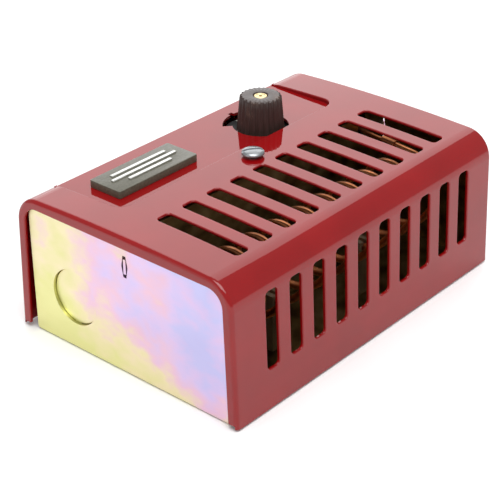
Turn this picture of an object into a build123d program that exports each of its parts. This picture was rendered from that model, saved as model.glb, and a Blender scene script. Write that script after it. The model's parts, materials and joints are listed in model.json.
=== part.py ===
from build123d import *
from math import cos, pi, radians, sin, tan
import os

os.makedirs("parts", exist_ok=True)

# Line-voltage air thermostat for a wall. Millimetres. The origin is the middle of the back face,
# +Z points out of the wall, +X runs along the case and the air slots face -Y.

# ---------------------------------------------------------------- driving dimensions
# cover
cover_length = 153.4
cover_width = 107.8
cover_foot = 0.7            # lower edge of the cover, above the wall
cover_edge = 55.7           # height of the front face at its long edges
cover_crown = 57.2          # height of the front face on its middle line
cover_wall = 1.1            # enamelled steel sheet
cover_draft = tan(radians(2.35))
cover_shoulder = 11.0       # radius between the front and the long walls
end_round = 1.6             # bend between the cover and its end rims
rim_width = 4.2
rim_top = 52.4
rim_corner = 6.5
rim_foot = 2.0
edge_round = 0.45
# air slots, the same on the front and on the vent wall
slot_count = 10
slot_pitch = 12.7
slot_width = 6.35
slot_corner = 1.75
slot_shift = 0.6            # the slot rows sit a little towards the far end
front_slot_low = -39.8
front_slot_high = -2.3
wall_slot_low = 16.2
wall_slot_high = 46.4
# sunk panel for the knob and the nameplate
panel_floor = 55.2
panel_skin = 1.1
panel_near = -62.2
panel_far = 59.4
panel_edge = 12.3
panel_corner = 5.5
panel_inner_edge = 45.6
# knob and its window
knob_x = 26.6
knob_y = 23.6
knob_top = 67.9
knob_top_radius = 8.3
knob_foot = 52.4
knob_foot_radius = 9.7
knob_round = 0.5
knob_flutes = 24
flute_radius = 0.95
knob_hole_radius = 11.2
window_radius = 15.1
window_from = 43.0
window_to = 137.0
index_width = 2.2
index_depth = 1.4
# nameplate
plate_x = -34.2
plate_y = 28.1
plate_length = 41.0
plate_width = 15.5
plate_thick = 3.0
plate_round = 0.4
plate_bar_height = 0.6
pin_spacing = 24.0
pin_radius = 1.1
pin_length = 2.6
plate_bar_pitch = 4.2
plate_bar_length = 33.0
plate_bar_width = 2.2
# cover screw and its post
screw_y = 4.7
screw_shank = 2.0
screw_tip = 46.0
screw_seat = 57.2
head_radius = 4.4
head_height = 3.0
slot_angle = -48.0
post_top = 51.0
post_flats = 6.35
post_spigot = 2.2
retainer_z = 54.0
retainer_thick = 0.8
# chassis of bent sheet
sheet = 1.5
chassis_length = 150.6
chassis_width = 95.8
chassis_shift = -1.05
chassis_front = 54.0
chassis_corner = 6.5
chassis_bend = 1.2
side_flange = 8.0
wall_hole_radius = 2.4
wall_hole_x = 66.0
wall_hole_y = 8.0
# conduit knockouts
knockout_radius = 11.11
knockout_gap = 0.16
knockout_y = 25.2
knockout_z = 21.9
knockout_recess = 1.1
knockout_web = 3.0
knockout_web_gap = 0.22
# partition between the air side and the switch side
partition_y = -1.7
partition_thick = 1.2
partition_top = 55.3
tab_low = 41.8
tab_high = 47.6
tab_slot_width = 3.0
tab_slot_low = 40.4
tab_slot_high = 49.0
tab_slot_end = 1.4
partition_foot = 10.0
partition_foot_end = 62.0
capillary_notch = 2.2
# small fasteners
small_screw = 1.6
rivet_radius = 1.6
rivet_head = 1.0
switch_screw_places = [(-12.0, 13.0), (-12.0, 34.2)]
ground_place = (-62.0, 16.0)
bracket_rivet_places = [(9.0, 14.5), (9.0, 32.7), (56.0, 14.5), (56.0, 32.7)]
partition_rivet_places = [(-50.0, -7.5), (0.0, -7.5), (50.0, -7.5)]
# sensing coil, axis along X
coil_y = -30.0
coil_z = 35.5
coil_radius = 13.8
coil_tube = 1.5
coil_pitch = 12.9
coil_turns = 8.5
coil_start = -55.45
coil_tail = 12.0
sleeve_length = 7.0
sleeve_radius = 2.1
clipped_turns = (2, 6)
post_width = 6.0
post_depth = 5.0
capillary_radius = 0.9
capillary_y = 4.5
capillary_low = 7.0
capillary_bend = 3.0
# mechanism bracket, around the knob's axis
leg_gap = 26.2
leg_near = 6.0
leg_far = 64.0
deck_top = 39.5
pivot_x = 58.0
pivot_z = 24.0
pivot_radius = 1.5
running_gap = 0.06
lever_z = 20.2
lever_thick = 1.6
lever_width = 14.0
lever_tip = -24.0
foot_half_width = 3.0
bushing_thread = 4.7
bushing_flats = 12.0
bushing_flange = 2.8
bushing_top = 45.0
nut_height = 3.0
shaft_radius = 2.5
shaft_foot = 26.5
shaft_collar = 4.0
collar_height = 1.5
neck_radius = 2.0
neck_top = 62.0
clip_z = 34.3
insert_radius = 2.7
hex_flats = 2.4
dial_foot = 51.0
dial_radius = 14.6
nut_foot = 29.0
nut_thick = 4.0
nut_width = 14.0
spring_wire = 0.55
spring_radius = 4.6
spring_turns = 4
# bellows
cup_radius = 12.0
cup_wall = 1.0
cup_top = 13.0
bellows_inner = 6.5
bellows_outer = 9.5
bellows_top = 16.0
bellows_folds = 7
plunger_x = -20.0
plunger_top = 19.9
# switch
switch_near = -48.0
switch_far = -8.0
switch_width = 28.4
liner_thick = 1.6
switch_top = 14.5
terminal_pitch = 9.1
terminal_x = -42.0
terminal_length = 10.0
terminal_width = 7.0
rib_length = 11.0
rib_thick = 1.2
plunger_radius = 2.5

# ---------------------------------------------------------------- worked out
half_length = cover_length / 2
half_width = cover_width / 2
half_chassis = chassis_length / 2
half_chassis_width = chassis_width / 2
coil_end_x = coil_start + coil_pitch * coil_turns
coil_slope = coil_pitch / (2 * pi * coil_radius)
leg_y = leg_gap / 2
switch_foot = sheet + liner_thick
terminal_names = ("cooling_terminal", "line_terminal", "heating_terminal")
on_foot = (Align.CENTER, Align.CENTER, Align.MIN)
under = (Align.CENTER, Align.CENTER, Align.MAX)
coil_end_z = coil_z + coil_radius
capillary_x = coil_end_x - coil_slope * (coil_y - partition_y)


def cover_section(inset, foot):
    """Cross-section of the cover, moved in by inset and cut off at the height foot."""
    foot_half = half_width - inset - (foot - cover_foot) * cover_draft
    edge_half = half_width - inset - (cover_edge - cover_foot) * cover_draft
    shoulder_low = (-edge_half, cover_edge - inset)
    shoulder_high = (edge_half, cover_edge - inset)
    with BuildSketch() as section:
        with BuildLine():
            Polyline(shoulder_low, (-foot_half, foot), (foot_half, foot), shoulder_high)
            ThreePointArc(shoulder_high, (0, cover_crown - inset), shoulder_low)
        make_face()
        fillet(section.vertices().group_by(Axis.Y)[-1], radius=cover_shoulder - inset)
    return section.sketch


def on_front_slot(edge):
    """True for the outer edges of the front slots."""
    box = edge.bounding_box()
    return (
        box.min.Z > cover_edge - cover_wall / 2
        and box.min.Y > front_slot_low - 0.1
        and box.max.Y < front_slot_high + 0.1
        and abs(edge.center().X) < half_length - 5
    )


def on_wall_slot(edge):
    """True for the outer edges of the slots in the vent wall."""
    box = edge.bounding_box()
    middle = edge.center()
    wall_y = (middle.Z - cover_foot) * cover_draft - half_width
    return (
        abs(middle.Y - wall_y) < 0.05
        and box.min.Z > wall_slot_low - 0.1
        and box.max.Z < wall_slot_high + 0.1
        and abs(middle.X) < half_length - 5
    )


def on_panel_rim(edge):
    """True for the upper edges of the step round the sunk panel."""
    box = edge.bounding_box()
    return (
        box.min.Z > cover_edge + edge_round
        and box.min.X > panel_near - 0.1
        and box.max.X < panel_far + 0.1
        and box.min.Y > panel_edge - 0.1
    )


def on_rim_opening(edge):
    """True for the outer edges of the openings inside the end rims."""
    box = edge.bounding_box()
    on_end = box.max.X - box.min.X < 0.01 and abs(abs(edge.center().X) - half_length) < 0.01
    inside = abs(edge.center().Y) < half_width - rim_width and box.max.Z < rim_top + 0.1
    return on_end and inside


def end_opening():
    """Opening inside the rim at each end of the cover, narrower towards the front."""
    foot_half = half_width - rim_width
    top_half = half_width - rim_width - (rim_top - cover_foot) * cover_draft
    with BuildSketch() as opening:
        with BuildLine():
            Polyline(
                (-foot_half, -1), (foot_half, -1), (top_half, rim_top), (-top_half, rim_top), close=True
            )
        make_face()
        fillet(opening.vertices().group_by(Axis.Y)[-1], radius=rim_corner)
    return opening.sketch


def window():
    """Sector of the knob's window through which the dial shows, with its index notch."""
    with BuildSketch() as sector:
        with BuildLine():
            rim = CenterArc((0, 0), window_radius, window_from, window_to - window_from)
            Polyline(rim @ 1, (0, 0), rim @ 0)
        make_face()
        with Locations((0, window_radius)):
            Rectangle(index_width, 2 * index_depth)
    return sector.sketch


def slotted_head(radius, height, angle=0):
    """Pan head of a slotted screw, standing on the origin."""
    with BuildPart() as head:
        Cylinder(radius, height, align=on_foot)
        fillet(head.edges().group_by(Axis.Z)[-1], radius=height * 0.45)
        with Locations(Location((0, 0, height), (0, 0, angle))):
            Box(2 * radius + 1, radius * 0.25, height, mode=Mode.SUBTRACT)
    return head.part


def bar(x, y, foot, radius, height, mode=Mode.ADD):
    """Round bar, washer or hole along Z, its lower end at the height foot."""
    with Locations((x, y, foot)):
        Cylinder(radius, height, align=on_foot, mode=mode)


def block(x_span, y_span, z_span, mode=Mode.ADD):
    """Rectangular block between two corners."""
    with Locations((x_span[0], y_span[0], z_span[0])):
        Box(
            x_span[1] - x_span[0], y_span[1] - y_span[0], z_span[1] - z_span[0],
            align=(Align.MIN, Align.MIN, Align.MIN), mode=mode,
        )


# ---------------------------------------------------------------- cover
# A pressed shell: crowned front, drafted long walls, and a narrow rim over each end plate.
# The sunk panel keeps its own skin, which hangs below the inside of the shell.
with BuildPart() as cover:
    with BuildSketch(Plane.YZ.offset(-half_length)):
        add(cover_section(0, cover_foot))
    extrude(amount=cover_length)
    for side in (0, -1):
        end_edges = cover.faces().sort_by(Axis.X)[side].edges()
        fillet(end_edges.filter_by(lambda edge: edge.center().Z > cover_foot + 1), radius=end_round)
    with BuildSketch(Plane.YZ.offset(cover_wall - half_length)):
        add(cover_section(cover_wall, -1))
    extrude(amount=cover_length - 2 * cover_wall, mode=Mode.SUBTRACT)
    block(
        (panel_near - panel_skin, panel_far + panel_skin),
        (panel_edge - panel_skin, panel_inner_edge),
        (panel_floor - panel_skin, panel_floor + 0.5),
    )
    with BuildSketch(Plane.YZ.offset(-half_length)):
        add(end_opening())
    extrude(amount=cover_length, mode=Mode.SUBTRACT)
    for side in (-1, 1):
        block(
            (side * half_length - cover_wall, side * half_length + cover_wall),
            (cover_wall - half_width, half_width - cover_wall),
            (0, rim_foot),
            mode=Mode.SUBTRACT,
        )
    with BuildSketch(Plane.XY.offset(panel_floor)) as panel:
        with Locations(((panel_near + panel_far) / 2, panel_edge + half_width / 2)):
            Rectangle(panel_far - panel_near, half_width)
        fillet(panel.vertices(), radius=panel_corner)
    extrude(amount=cover_crown - panel_floor + 1, mode=Mode.SUBTRACT)
    with BuildSketch(Plane.XY.offset(cover_edge - cover_wall - 3)):
        with Locations((slot_shift, (front_slot_low + front_slot_high) / 2)):
            with GridLocations(slot_pitch, 1, slot_count, 1):
                RectangleRounded(slot_width, front_slot_high - front_slot_low, slot_corner)
    extrude(amount=cover_wall + 6, mode=Mode.SUBTRACT)
    with BuildSketch(Plane.XZ.offset(half_width - cover_wall - 4)):
        with Locations((slot_shift, (wall_slot_low + wall_slot_high) / 2)):
            with GridLocations(slot_pitch, 1, slot_count, 1):
                RectangleRounded(slot_width, wall_slot_high - wall_slot_low, slot_corner)
    extrude(amount=cover_wall + 6, mode=Mode.SUBTRACT)
    with BuildSketch(Plane.XY.offset(panel_floor - panel_skin - 1)):
        with Locations((knob_x, knob_y)):
            Circle(knob_hole_radius)
            add(window())
        with Locations((plate_x, plate_y)):
            with GridLocations(pin_spacing, 1, 2, 1):
                Circle(pin_radius + 0.1)
    extrude(amount=panel_skin + 1.5, mode=Mode.SUBTRACT)
    bar(0, screw_y, cover_edge - cover_wall - 1, screw_shank + 0.5, cover_wall + 3, mode=Mode.SUBTRACT)
    fillet(cover.edges().filter_by(on_front_slot), radius=edge_round)
    fillet(cover.edges().filter_by(on_wall_slot), radius=edge_round)
    fillet(cover.edges().filter_by(on_panel_rim), radius=edge_round)
    fillet(cover.edges().filter_by(on_rim_opening), radius=edge_round)
cover.part.label = "cover"
export_step(cover.part, "parts/cover.step")

# ---------------------------------------------------------------- nameplate
# Cast plate with three plain raised bars, held by two pins and push-on clips.
with BuildPart() as nameplate:
    with Locations((plate_x, plate_y, panel_floor)):
        Box(plate_length, plate_width, plate_thick, align=on_foot)
    fillet(nameplate.edges().filter_by(Axis.Z), radius=0.6)
    fillet(nameplate.faces().sort_by(Axis.Z)[-1].edges(), radius=plate_round)
    with BuildSketch(Plane.XY.offset(panel_floor + plate_thick)):
        with Locations((plate_x, plate_y)):
            with GridLocations(1, plate_bar_pitch, 1, 3):
                RectangleRounded(plate_bar_length, plate_bar_width, plate_bar_width * 0.45)
    extrude(amount=plate_bar_height)
    with Locations((plate_x, plate_y, panel_floor)):
        with GridLocations(pin_spacing, 1, 2, 1):
            Cylinder(pin_radius, pin_length, align=under)
nameplate.part.label = "nameplate"
export_step(nameplate.part, "parts/nameplate.step")

with BuildPart() as nameplate_clips:
    with Locations((plate_x, plate_y, panel_floor - panel_skin)):
        with GridLocations(pin_spacing, 1, 2, 1):
            Cylinder(pin_radius * 2.6, 0.8, align=under)
            Cylinder(pin_radius + 0.02, 0.8, align=under, mode=Mode.SUBTRACT)
nameplate_clips.part.label = "nameplate_clips"
export_step(nameplate_clips.part, "parts/nameplate_clips.step")

# ---------------------------------------------------------------- cover screw
# Captive screw: the push-on retainer under the front keeps it in the cover.
with BuildPart() as cover_screw:
    with Locations((0, screw_y, screw_seat)):
        add(slotted_head(head_radius, head_height, slot_angle))
    bar(0, screw_y, screw_tip, screw_shank, screw_seat - screw_tip)
    chamfer(cover_screw.edges().group_by(Axis.Z)[0], length=0.6)
cover_screw.part.label = "cover_screw"
export_step(cover_screw.part, "parts/cover_screw.step")

with BuildPart() as screw_retainer:
    bar(0, screw_y, retainer_z, screw_shank + 2.6, retainer_thick)
    bar(0, screw_y, retainer_z, screw_shank + 0.02, retainer_thick, mode=Mode.SUBTRACT)
screw_retainer.part.label = "screw_retainer"
export_step(screw_retainer.part, "parts/screw_retainer.step")

with BuildPart() as cover_post:
    with BuildSketch(Plane.XY.offset(sheet)):
        with Locations((0, screw_y)):
            RegularPolygon(post_flats / 2, 6, major_radius=False, rotation=30)
    extrude(amount=post_top - sheet)
    bar(0, screw_y, 0, post_spigot, sheet)
    bar(0, screw_y, screw_tip - 6, screw_shank + 0.15, post_top - screw_tip + 6, mode=Mode.SUBTRACT)
cover_post.part.label = "cover_post"
export_step(cover_post.part, "parts/cover_post.step")

# ---------------------------------------------------------------- chassis
# One sheet bent up at both ends and turned up a little along both long edges. Each end has a
# conduit knockout and a narrow slot that takes a tab of the partition.
tab_slot_middle = (tab_slot_low + tab_slot_high) / 2
with BuildPart() as chassis:
    with Locations((0, chassis_shift, 0)):
        Box(chassis_length, chassis_width, sheet, align=on_foot)
    for side in (-1, 1):
        with BuildSketch(Plane.YZ.offset(side * half_chassis)) as end_plate:
            with Locations((chassis_shift, chassis_front / 2)):
                Rectangle(chassis_width, chassis_front)
            fillet(end_plate.vertices().group_by(Axis.Y)[-1], radius=chassis_corner)
            with Locations((knockout_y, knockout_z)):
                Circle(knockout_radius, mode=Mode.SUBTRACT)
            with BuildLine():
                Polyline(
                    (partition_y - tab_slot_end / 2, tab_slot_low),
                    (partition_y + tab_slot_end / 2, tab_slot_low),
                    (partition_y + tab_slot_width / 2, tab_slot_middle),
                    (partition_y + tab_slot_end / 2, tab_slot_high),
                    (partition_y - tab_slot_end / 2, tab_slot_high),
                    (partition_y - tab_slot_width / 2, tab_slot_middle),
                    close=True,
                )
            make_face(mode=Mode.SUBTRACT)
        extrude(amount=-side * sheet)
        block(
            (-half_chassis, half_chassis),
            (
                chassis_shift + side * half_chassis_width - sheet * (side + 1) / 2,
                chassis_shift + side * half_chassis_width - sheet * (side - 1) / 2,
            ),
            (0, side_flange),
        )
    foot_edges = chassis.faces().sort_by(Axis.Z)[0].edges()
    fillet(foot_edges, radius=chassis_bend)
    with Locations((-wall_hole_x, wall_hole_y, 0), (wall_hole_x, wall_hole_y, 0)):
        Cylinder(wall_hole_radius, sheet, align=on_foot, mode=Mode.SUBTRACT)
    bar(0, screw_y, 0, post_spigot + 0.05, sheet, mode=Mode.SUBTRACT)
    for x, y in switch_screw_places + [ground_place]:
        bar(x, y, 0, small_screw + 0.05, sheet, mode=Mode.SUBTRACT)
    for x, y in bracket_rivet_places + partition_rivet_places:
        bar(x, y, 0, rivet_radius + 0.05, sheet, mode=Mode.SUBTRACT)
chassis.part.label = "chassis"
export_step(chassis.part, "parts/chassis.step")

# A knockout is a disc half sheared into the case and held by two small webs.
for end, side in (("near", -1), ("far", 1)):
    with BuildPart() as knockout:
        with BuildSketch(Plane.YZ.offset(side * (half_chassis - knockout_recess))):
            with Locations((knockout_y, knockout_z)):
                Circle(knockout_radius - knockout_gap)
        extrude(amount=-side * sheet)
        fillet(knockout.edges().filter_by(GeomType.CIRCLE), radius=0.35)
        with BuildSketch(Plane.YZ.offset(side * (half_chassis - knockout_recess))):
            with Locations((knockout_y, knockout_z)):
                Rectangle(knockout_web, 2 * knockout_radius - knockout_web_gap)
        extrude(amount=-side * (sheet - knockout_recess))
    knockout.part.label = f"{end}_knockout"
    export_step(knockout.part, f"parts/{end}_knockout.step")

# ---------------------------------------------------------------- partition
# Upright sheet with a turned foot. Its end tabs reach through the slots of the chassis.
partition_end = half_chassis - sheet - 0.4
with BuildPart() as partition:
    block(
        (-partition_end, partition_end),
        (partition_y - partition_thick / 2, partition_y + partition_thick / 2),
        (sheet, partition_top),
    )
    block(
        (-partition_foot_end, partition_foot_end),
        (partition_y - partition_foot, partition_y),
        (sheet, sheet + partition_thick),
    )
    block(
        (-half_chassis, half_chassis),
        (partition_y - partition_thick / 2, partition_y + partition_thick / 2),
        (tab_low, tab_high),
    )
    block(
        (capillary_x - capillary_notch, capillary_x + capillary_notch),
        (partition_y - partition_thick, partition_y + partition_thick),
        (coil_end_z - capillary_notch, partition_top + 1),
        mode=Mode.SUBTRACT,
    )
    for x, y in partition_rivet_places:
        bar(x, y, sheet, rivet_radius + 0.05, partition_thick, mode=Mode.SUBTRACT)
partition.part.label = "partition"
export_step(partition.part, "parts/partition.step")

with BuildPart() as partition_rivets:
    for x, y in partition_rivet_places:
        bar(x, y, 0, rivet_radius, sheet + partition_thick)
        with Locations((x, y, sheet + partition_thick)):
            Cylinder(rivet_radius * 1.9, rivet_head, align=on_foot)
    fillet(partition_rivets.edges().group_by(Axis.Z)[-1], radius=rivet_head * 0.7)
partition_rivets.part.label = "partition_rivets"
export_step(partition_rivets.part, "parts/partition_rivets.step")

# ---------------------------------------------------------------- sensing coil and capillary
# The tube winds from a crimped end at the near bottom and leaves the last turn at its top,
# straight across the partition, where a soldered sleeve joins the thin capillary.
coil_plane = Plane(origin=(coil_start, coil_y, coil_z), x_dir=(0, 0, -1), z_dir=(1, 0, 0))
winding = coil_plane * Helix(coil_pitch, coil_pitch * coil_turns, coil_radius, lefthand=True)
coil_path = winding.edges()[0]
coil_end = coil_path @ 1
coil_leaving = coil_path % 1
with BuildPart() as sensing_coil:
    with BuildSketch(Plane(origin=coil_path @ 0, z_dir=coil_path % 0)):
        Circle(coil_tube)
    sweep(path=coil_path, is_frenet=True)
    with BuildSketch(Plane(origin=coil_end, z_dir=coil_leaving)):
        Circle(coil_tube)
    extrude(amount=coil_tail)
    with Locations(Plane(origin=coil_path @ 0, z_dir=coil_path % 0)):
        Sphere(coil_tube)
sensing_coil.part.label = "sensing_coil"
export_step(sensing_coil.part, "parts/sensing_coil.step")

sleeve_start = coil_end + coil_leaving * (coil_tail - sleeve_length / 2)
with BuildPart() as solder_sleeve:
    with BuildSketch(Plane(origin=sleeve_start, z_dir=coil_leaving)):
        Circle(sleeve_radius)
    extrude(amount=sleeve_length)
    fillet(solder_sleeve.edges().filter_by(GeomType.CIRCLE), radius=0.3)
    with BuildSketch(Plane(origin=sleeve_start, z_dir=coil_leaving)):
        Circle(coil_tube + 0.02)
    extrude(amount=sleeve_length / 2, mode=Mode.SUBTRACT)
    with BuildSketch(Plane(origin=sleeve_start + coil_leaving * sleeve_length, z_dir=coil_leaving)):
        Circle(capillary_radius + 0.02)
    extrude(amount=-sleeve_length / 2, mode=Mode.SUBTRACT)
solder_sleeve.part.label = "solder_sleeve"
export_step(solder_sleeve.part, "parts/solder_sleeve.step")

# The capillary crosses the partition in its notch, drops behind it and runs under the bracket
# into the bellows cup.
capillary_start = coil_end + coil_leaving * (coil_tail + 0.05)
with BuildLine() as capillary_route:
    FilletPolyline(
        capillary_start,
        (capillary_x + coil_slope * (capillary_y - partition_y), capillary_y, coil_end_z),
        (capillary_x, capillary_y, capillary_low),
        (knob_x, capillary_y, capillary_low),
        (knob_x, knob_y - cup_radius + cup_wall, capillary_low),
        radius=capillary_bend,
    )
with BuildPart() as capillary:
    with BuildSketch(Plane(origin=capillary_start, z_dir=coil_leaving)):
        Circle(capillary_radius)
    sweep(path=capillary_route.wire())
capillary.part.label = "capillary"
export_step(capillary.part, "parts/capillary.step")

# Moulded posts stand on the chassis and hold two turns at their lowest points.
with BuildPart() as coil_posts:
    for turn in clipped_turns:
        x = coil_start + turn * coil_pitch
        with Locations((x, coil_y, sheet)):
            Box(post_width, post_depth, coil_z - coil_radius + 3 - sheet, align=on_foot)
        with Locations((x, coil_y, coil_z - coil_radius)):
            Cylinder(coil_tube + 0.45, post_depth + 1, rotation=(90, 0, 0), mode=Mode.SUBTRACT)
        with Locations((x, coil_y, coil_z - coil_radius + 3)):
            Box(coil_tube * 1.2, post_depth + 1, 4, mode=Mode.SUBTRACT)
coil_posts.part.label = "coil_posts"
export_step(coil_posts.part, "parts/coil_posts.step")

# ---------------------------------------------------------------- mechanism bracket
# A channel of sheet around the knob's axis: two legs, a deck for the shaft bushing and four feet.
leg_low = knob_y - leg_y
leg_high = knob_y + leg_y
with BuildPart() as mechanism_bracket:
    block((leg_near, leg_far), (leg_low - sheet, leg_high + sheet), (deck_top - sheet, deck_top))
    block((leg_near, leg_far), (leg_low - sheet, leg_low), (sheet, deck_top))
    block((leg_near, leg_far), (leg_high, leg_high + sheet), (sheet, deck_top))
    for x, y in bracket_rivet_places:
        outer_y = leg_low if y < knob_y else leg_high
        block(
            (x - foot_half_width, x + foot_half_width),
            (min(outer_y, 2 * y - outer_y), max(outer_y, 2 * y - outer_y)),
            (sheet, 2 * sheet),
        )
        bar(x, y, sheet, rivet_radius + 0.05, sheet, mode=Mode.SUBTRACT)
    fillet(mechanism_bracket.edges().filter_by(Axis.X).group_by(Axis.Z)[-1], radius=1.2)
    bar(knob_x, knob_y, deck_top - sheet, bushing_thread + 0.05, sheet, mode=Mode.SUBTRACT)
    with Locations((pivot_x, knob_y, pivot_z)):
        Cylinder(pivot_radius + 0.05, leg_gap + 4 * sheet, rotation=(90, 0, 0), mode=Mode.SUBTRACT)
    block(
        (knob_x - capillary_notch, knob_x + capillary_notch),
        (leg_low - sheet, leg_low),
        (sheet, capillary_low + capillary_notch),
        mode=Mode.SUBTRACT,
    )
mechanism_bracket.part.label = "mechanism_bracket"
export_step(mechanism_bracket.part, "parts/mechanism_bracket.step")

with BuildPart() as bracket_rivets:
    for x, y in bracket_rivet_places:
        bar(x, y, 0, rivet_radius, 2 * sheet)
        bar(x, y, 2 * sheet, rivet_radius * 1.9, rivet_head)
    fillet(bracket_rivets.edges().group_by(Axis.Z)[-1], radius=rivet_head * 0.7)
bracket_rivets.part.label = "bracket_rivets"
export_step(bracket_rivets.part, "parts/bracket_rivets.step")

# ---------------------------------------------------------------- adjusting train
with BuildPart() as shaft_bushing:
    with BuildSketch(Plane.XY.offset(deck_top - sheet)):
        with Locations((knob_x, knob_y)):
            RegularPolygon(bushing_flats / 2, 6, major_radius=False)
    extrude(amount=-bushing_flange)
    bar(knob_x, knob_y, deck_top - sheet, bushing_thread, bushing_top - deck_top + sheet)
    chamfer(shaft_bushing.edges().group_by(Axis.Z)[-1], length=0.5)
    bar(knob_x, knob_y, deck_top - 12, shaft_radius + running_gap, 24, mode=Mode.SUBTRACT)
shaft_bushing.part.label = "shaft_bushing"
export_step(shaft_bushing.part, "parts/shaft_bushing.step")

with BuildPart() as bushing_nut:
    with BuildSketch(Plane.XY.offset(deck_top)):
        with Locations((knob_x, knob_y)):
            RegularPolygon(bushing_flats / 2 + 1, 6, major_radius=False)
            Circle(bushing_thread + 0.05, mode=Mode.SUBTRACT)
    extrude(amount=nut_height)
bushing_nut.part.label = "bushing_nut"
export_step(bushing_nut.part, "parts/bushing_nut.step")

# The shaft: a threaded lower length, a collar that rides on the bushing and a thin neck for the knob.
with BuildPart() as adjusting_shaft:
    bar(knob_x, knob_y, shaft_foot, shaft_radius, bushing_top - shaft_foot + 0.2)
    bar(knob_x, knob_y, bushing_top + 0.2, shaft_collar, collar_height)
    bar(knob_x, knob_y, bushing_top + 0.2 + collar_height, neck_radius, neck_top - bushing_top - 0.2 - collar_height)
    chamfer(adjusting_shaft.edges().group_by(Axis.Z)[0], length=0.5)
adjusting_shaft.part.label = "adjusting_shaft"
export_step(adjusting_shaft.part, "parts/adjusting_shaft.step")

with BuildPart() as shaft_clip:
    bar(knob_x, knob_y, clip_z, shaft_radius + 2, 0.8)
    bar(knob_x, knob_y, clip_z, shaft_radius + 0.02, 0.8, mode=Mode.SUBTRACT)
    with Locations((knob_x + shaft_radius + 1, knob_y, clip_z)):
        Box(4, shaft_radius * 1.4, 1, align=on_foot, mode=Mode.SUBTRACT)
shaft_clip.part.label = "shaft_clip"
export_step(shaft_clip.part, "parts/shaft_clip.step")

# The knob is a fluted cone over a brass insert, with the dial clamped under its skirt.
flute_tilt = (knob_foot_radius - knob_top_radius) / (knob_top - knob_foot)
with BuildPart() as knob:
    with BuildSketch(Plane.XZ.offset(-knob_y)):
        with BuildLine():
            Polyline(
                (knob_x, knob_foot), (knob_x + knob_foot_radius, knob_foot),
                (knob_x + knob_top_radius, knob_top), (knob_x, knob_top), close=True,
            )
        make_face()
    revolve(axis=Axis((knob_x, knob_y, 0), (0, 0, 1)))
    fillet(knob.edges().group_by(Axis.Z)[-1], radius=knob_round)
    with Locations((knob_x, knob_y, (knob_foot + knob_top) / 2)):
        with PolarLocations((knob_foot_radius + knob_top_radius) / 2 + flute_radius * 0.55, knob_flutes):
            Cylinder(
                flute_radius, knob_top - knob_foot + 4,
                rotation=(0, -flute_tilt * 180 / pi, 0), mode=Mode.SUBTRACT,
            )
    bar(knob_x, knob_y, knob_foot, insert_radius + 0.02, knob_top - knob_foot, mode=Mode.SUBTRACT)
knob.part.label = "knob"
export_step(knob.part, "parts/knob.step")

with BuildPart() as knob_insert:
    bar(knob_x, knob_y, dial_foot, insert_radius, knob_top - 0.3 - dial_foot)
    chamfer(knob_insert.edges().group_by(Axis.Z)[-1], length=0.25)
    bar(knob_x, knob_y, dial_foot, neck_radius + 0.02, knob_top - dial_foot, mode=Mode.SUBTRACT)
knob_insert.part.label = "knob_insert"
export_step(knob_insert.part, "parts/knob_insert.step")

with BuildPart() as knob_set_screw:
    bar(knob_x, knob_y, neck_top + 0.1, neck_radius - 0.02, knob_top - 0.9 - neck_top)
    with BuildSketch(Plane.XY.offset(knob_top - 0.8)):
        with Locations((knob_x, knob_y)):
            RegularPolygon(hex_flats / 2, 6, major_radius=False)
    extrude(amount=-2, mode=Mode.SUBTRACT)
knob_set_screw.part.label = "knob_set_screw"
export_step(knob_set_screw.part, "parts/knob_set_screw.step")

with BuildPart() as dial_scale:
    bar(knob_x, knob_y, dial_foot, dial_radius, knob_foot - dial_foot)
    bar(knob_x, knob_y, dial_foot, insert_radius + 0.02, knob_foot - dial_foot, mode=Mode.SUBTRACT)
dial_scale.part.label = "dial_scale"
export_step(dial_scale.part, "parts/dial_scale.step")

# The range nut climbs the shaft's thread and is kept from turning by the legs of the bracket.
with BuildPart() as range_nut:
    with Locations((knob_x, knob_y, nut_foot)):
        Box(nut_width, leg_gap - 0.7, nut_thick, align=on_foot)
    fillet(range_nut.edges().filter_by(Axis.Z), radius=1)
    bar(knob_x, knob_y, nut_foot, shaft_radius + running_gap, nut_thick, mode=Mode.SUBTRACT)
range_nut.part.label = "range_nut"
export_step(range_nut.part, "parts/range_nut.step")

spring_foot = lever_z + lever_thick + spring_wire + 0.05
spring_height = nut_foot - spring_wire - 0.05 - spring_foot
spring_winding = Pos(knob_x, knob_y, spring_foot) * Helix(
    spring_height / spring_turns, spring_height, spring_radius
)
spring_path = spring_winding.edges()[0]
with BuildPart() as range_spring:
    with BuildSketch(Plane(origin=spring_path @ 0, z_dir=spring_path % 0)):
        Circle(spring_wire)
    sweep(path=spring_path, is_frenet=True)
range_spring.part.label = "range_spring"
export_step(range_spring.part, "parts/range_spring.step")

# ---------------------------------------------------------------- lever and bellows
with BuildPart() as lever:
    block(
        (lever_tip, pivot_x),
        (knob_y - lever_width / 2, knob_y + lever_width / 2),
        (lever_z, lever_z + lever_thick),
    )
    fillet(lever.edges().filter_by(Axis.Z).group_by(Axis.X)[0], radius=3)
    with Locations((pivot_x, knob_y, pivot_z)):
        Cylinder(pivot_z - lever_z, lever_width, rotation=(90, 0, 0))
        Cylinder(pivot_radius + running_gap, lever_width, rotation=(90, 0, 0), mode=Mode.SUBTRACT)
    bar(knob_x, knob_y, lever_z + lever_thick, spring_radius - spring_wire - 0.3, 1.4)
lever.part.label = "lever"
export_step(lever.part, "parts/lever.step")

with BuildPart() as lever_pin:
    with Locations((pivot_x, knob_y, pivot_z)):
        Cylinder(pivot_radius, leg_gap + 2 * sheet + 1.6, rotation=(90, 0, 0))
    with Locations((pivot_x, leg_low - sheet - 0.8, pivot_z)):
        Cylinder(pivot_radius * 1.6, 1.2, rotation=(90, 0, 0))
lever_pin.part.label = "lever_pin"
export_step(lever_pin.part, "parts/lever_pin.step")

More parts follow.
